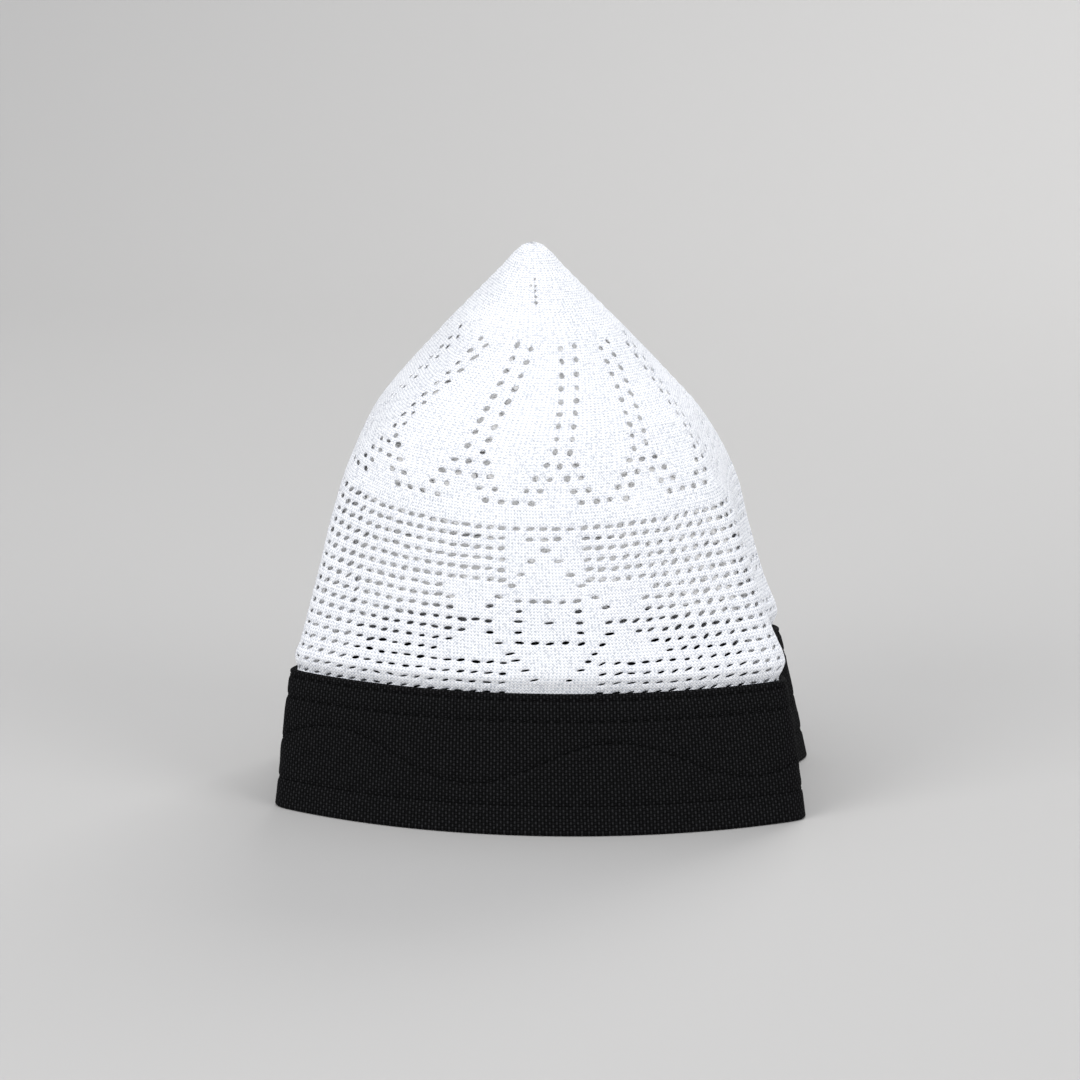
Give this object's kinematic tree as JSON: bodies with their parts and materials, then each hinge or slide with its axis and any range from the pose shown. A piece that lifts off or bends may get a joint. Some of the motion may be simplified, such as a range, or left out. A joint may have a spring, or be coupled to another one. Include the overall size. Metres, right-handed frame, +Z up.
{
  "type": "knitted lace cap with a cloth band",
  "caption": "Pointed open-work knitted prayer cap with a topstitched woven cloth band, standing on its rim.",
  "frame": {"origin": "middle of the rim, on the surface that the cap rests on", "axes": "+Z up to the tip, -Y towards the near panel, X across the width"},
  "size_m": [0.1754, 0.1358, 0.185],
  "materials": {
    "knit": "matt white open-work knit",
    "cloth": "matt black woven canvas, black topstitching"
  },
  "bodies": {
    "root": {"crown": "knit", "band": "cloth"}
  },
  "joints": []
}
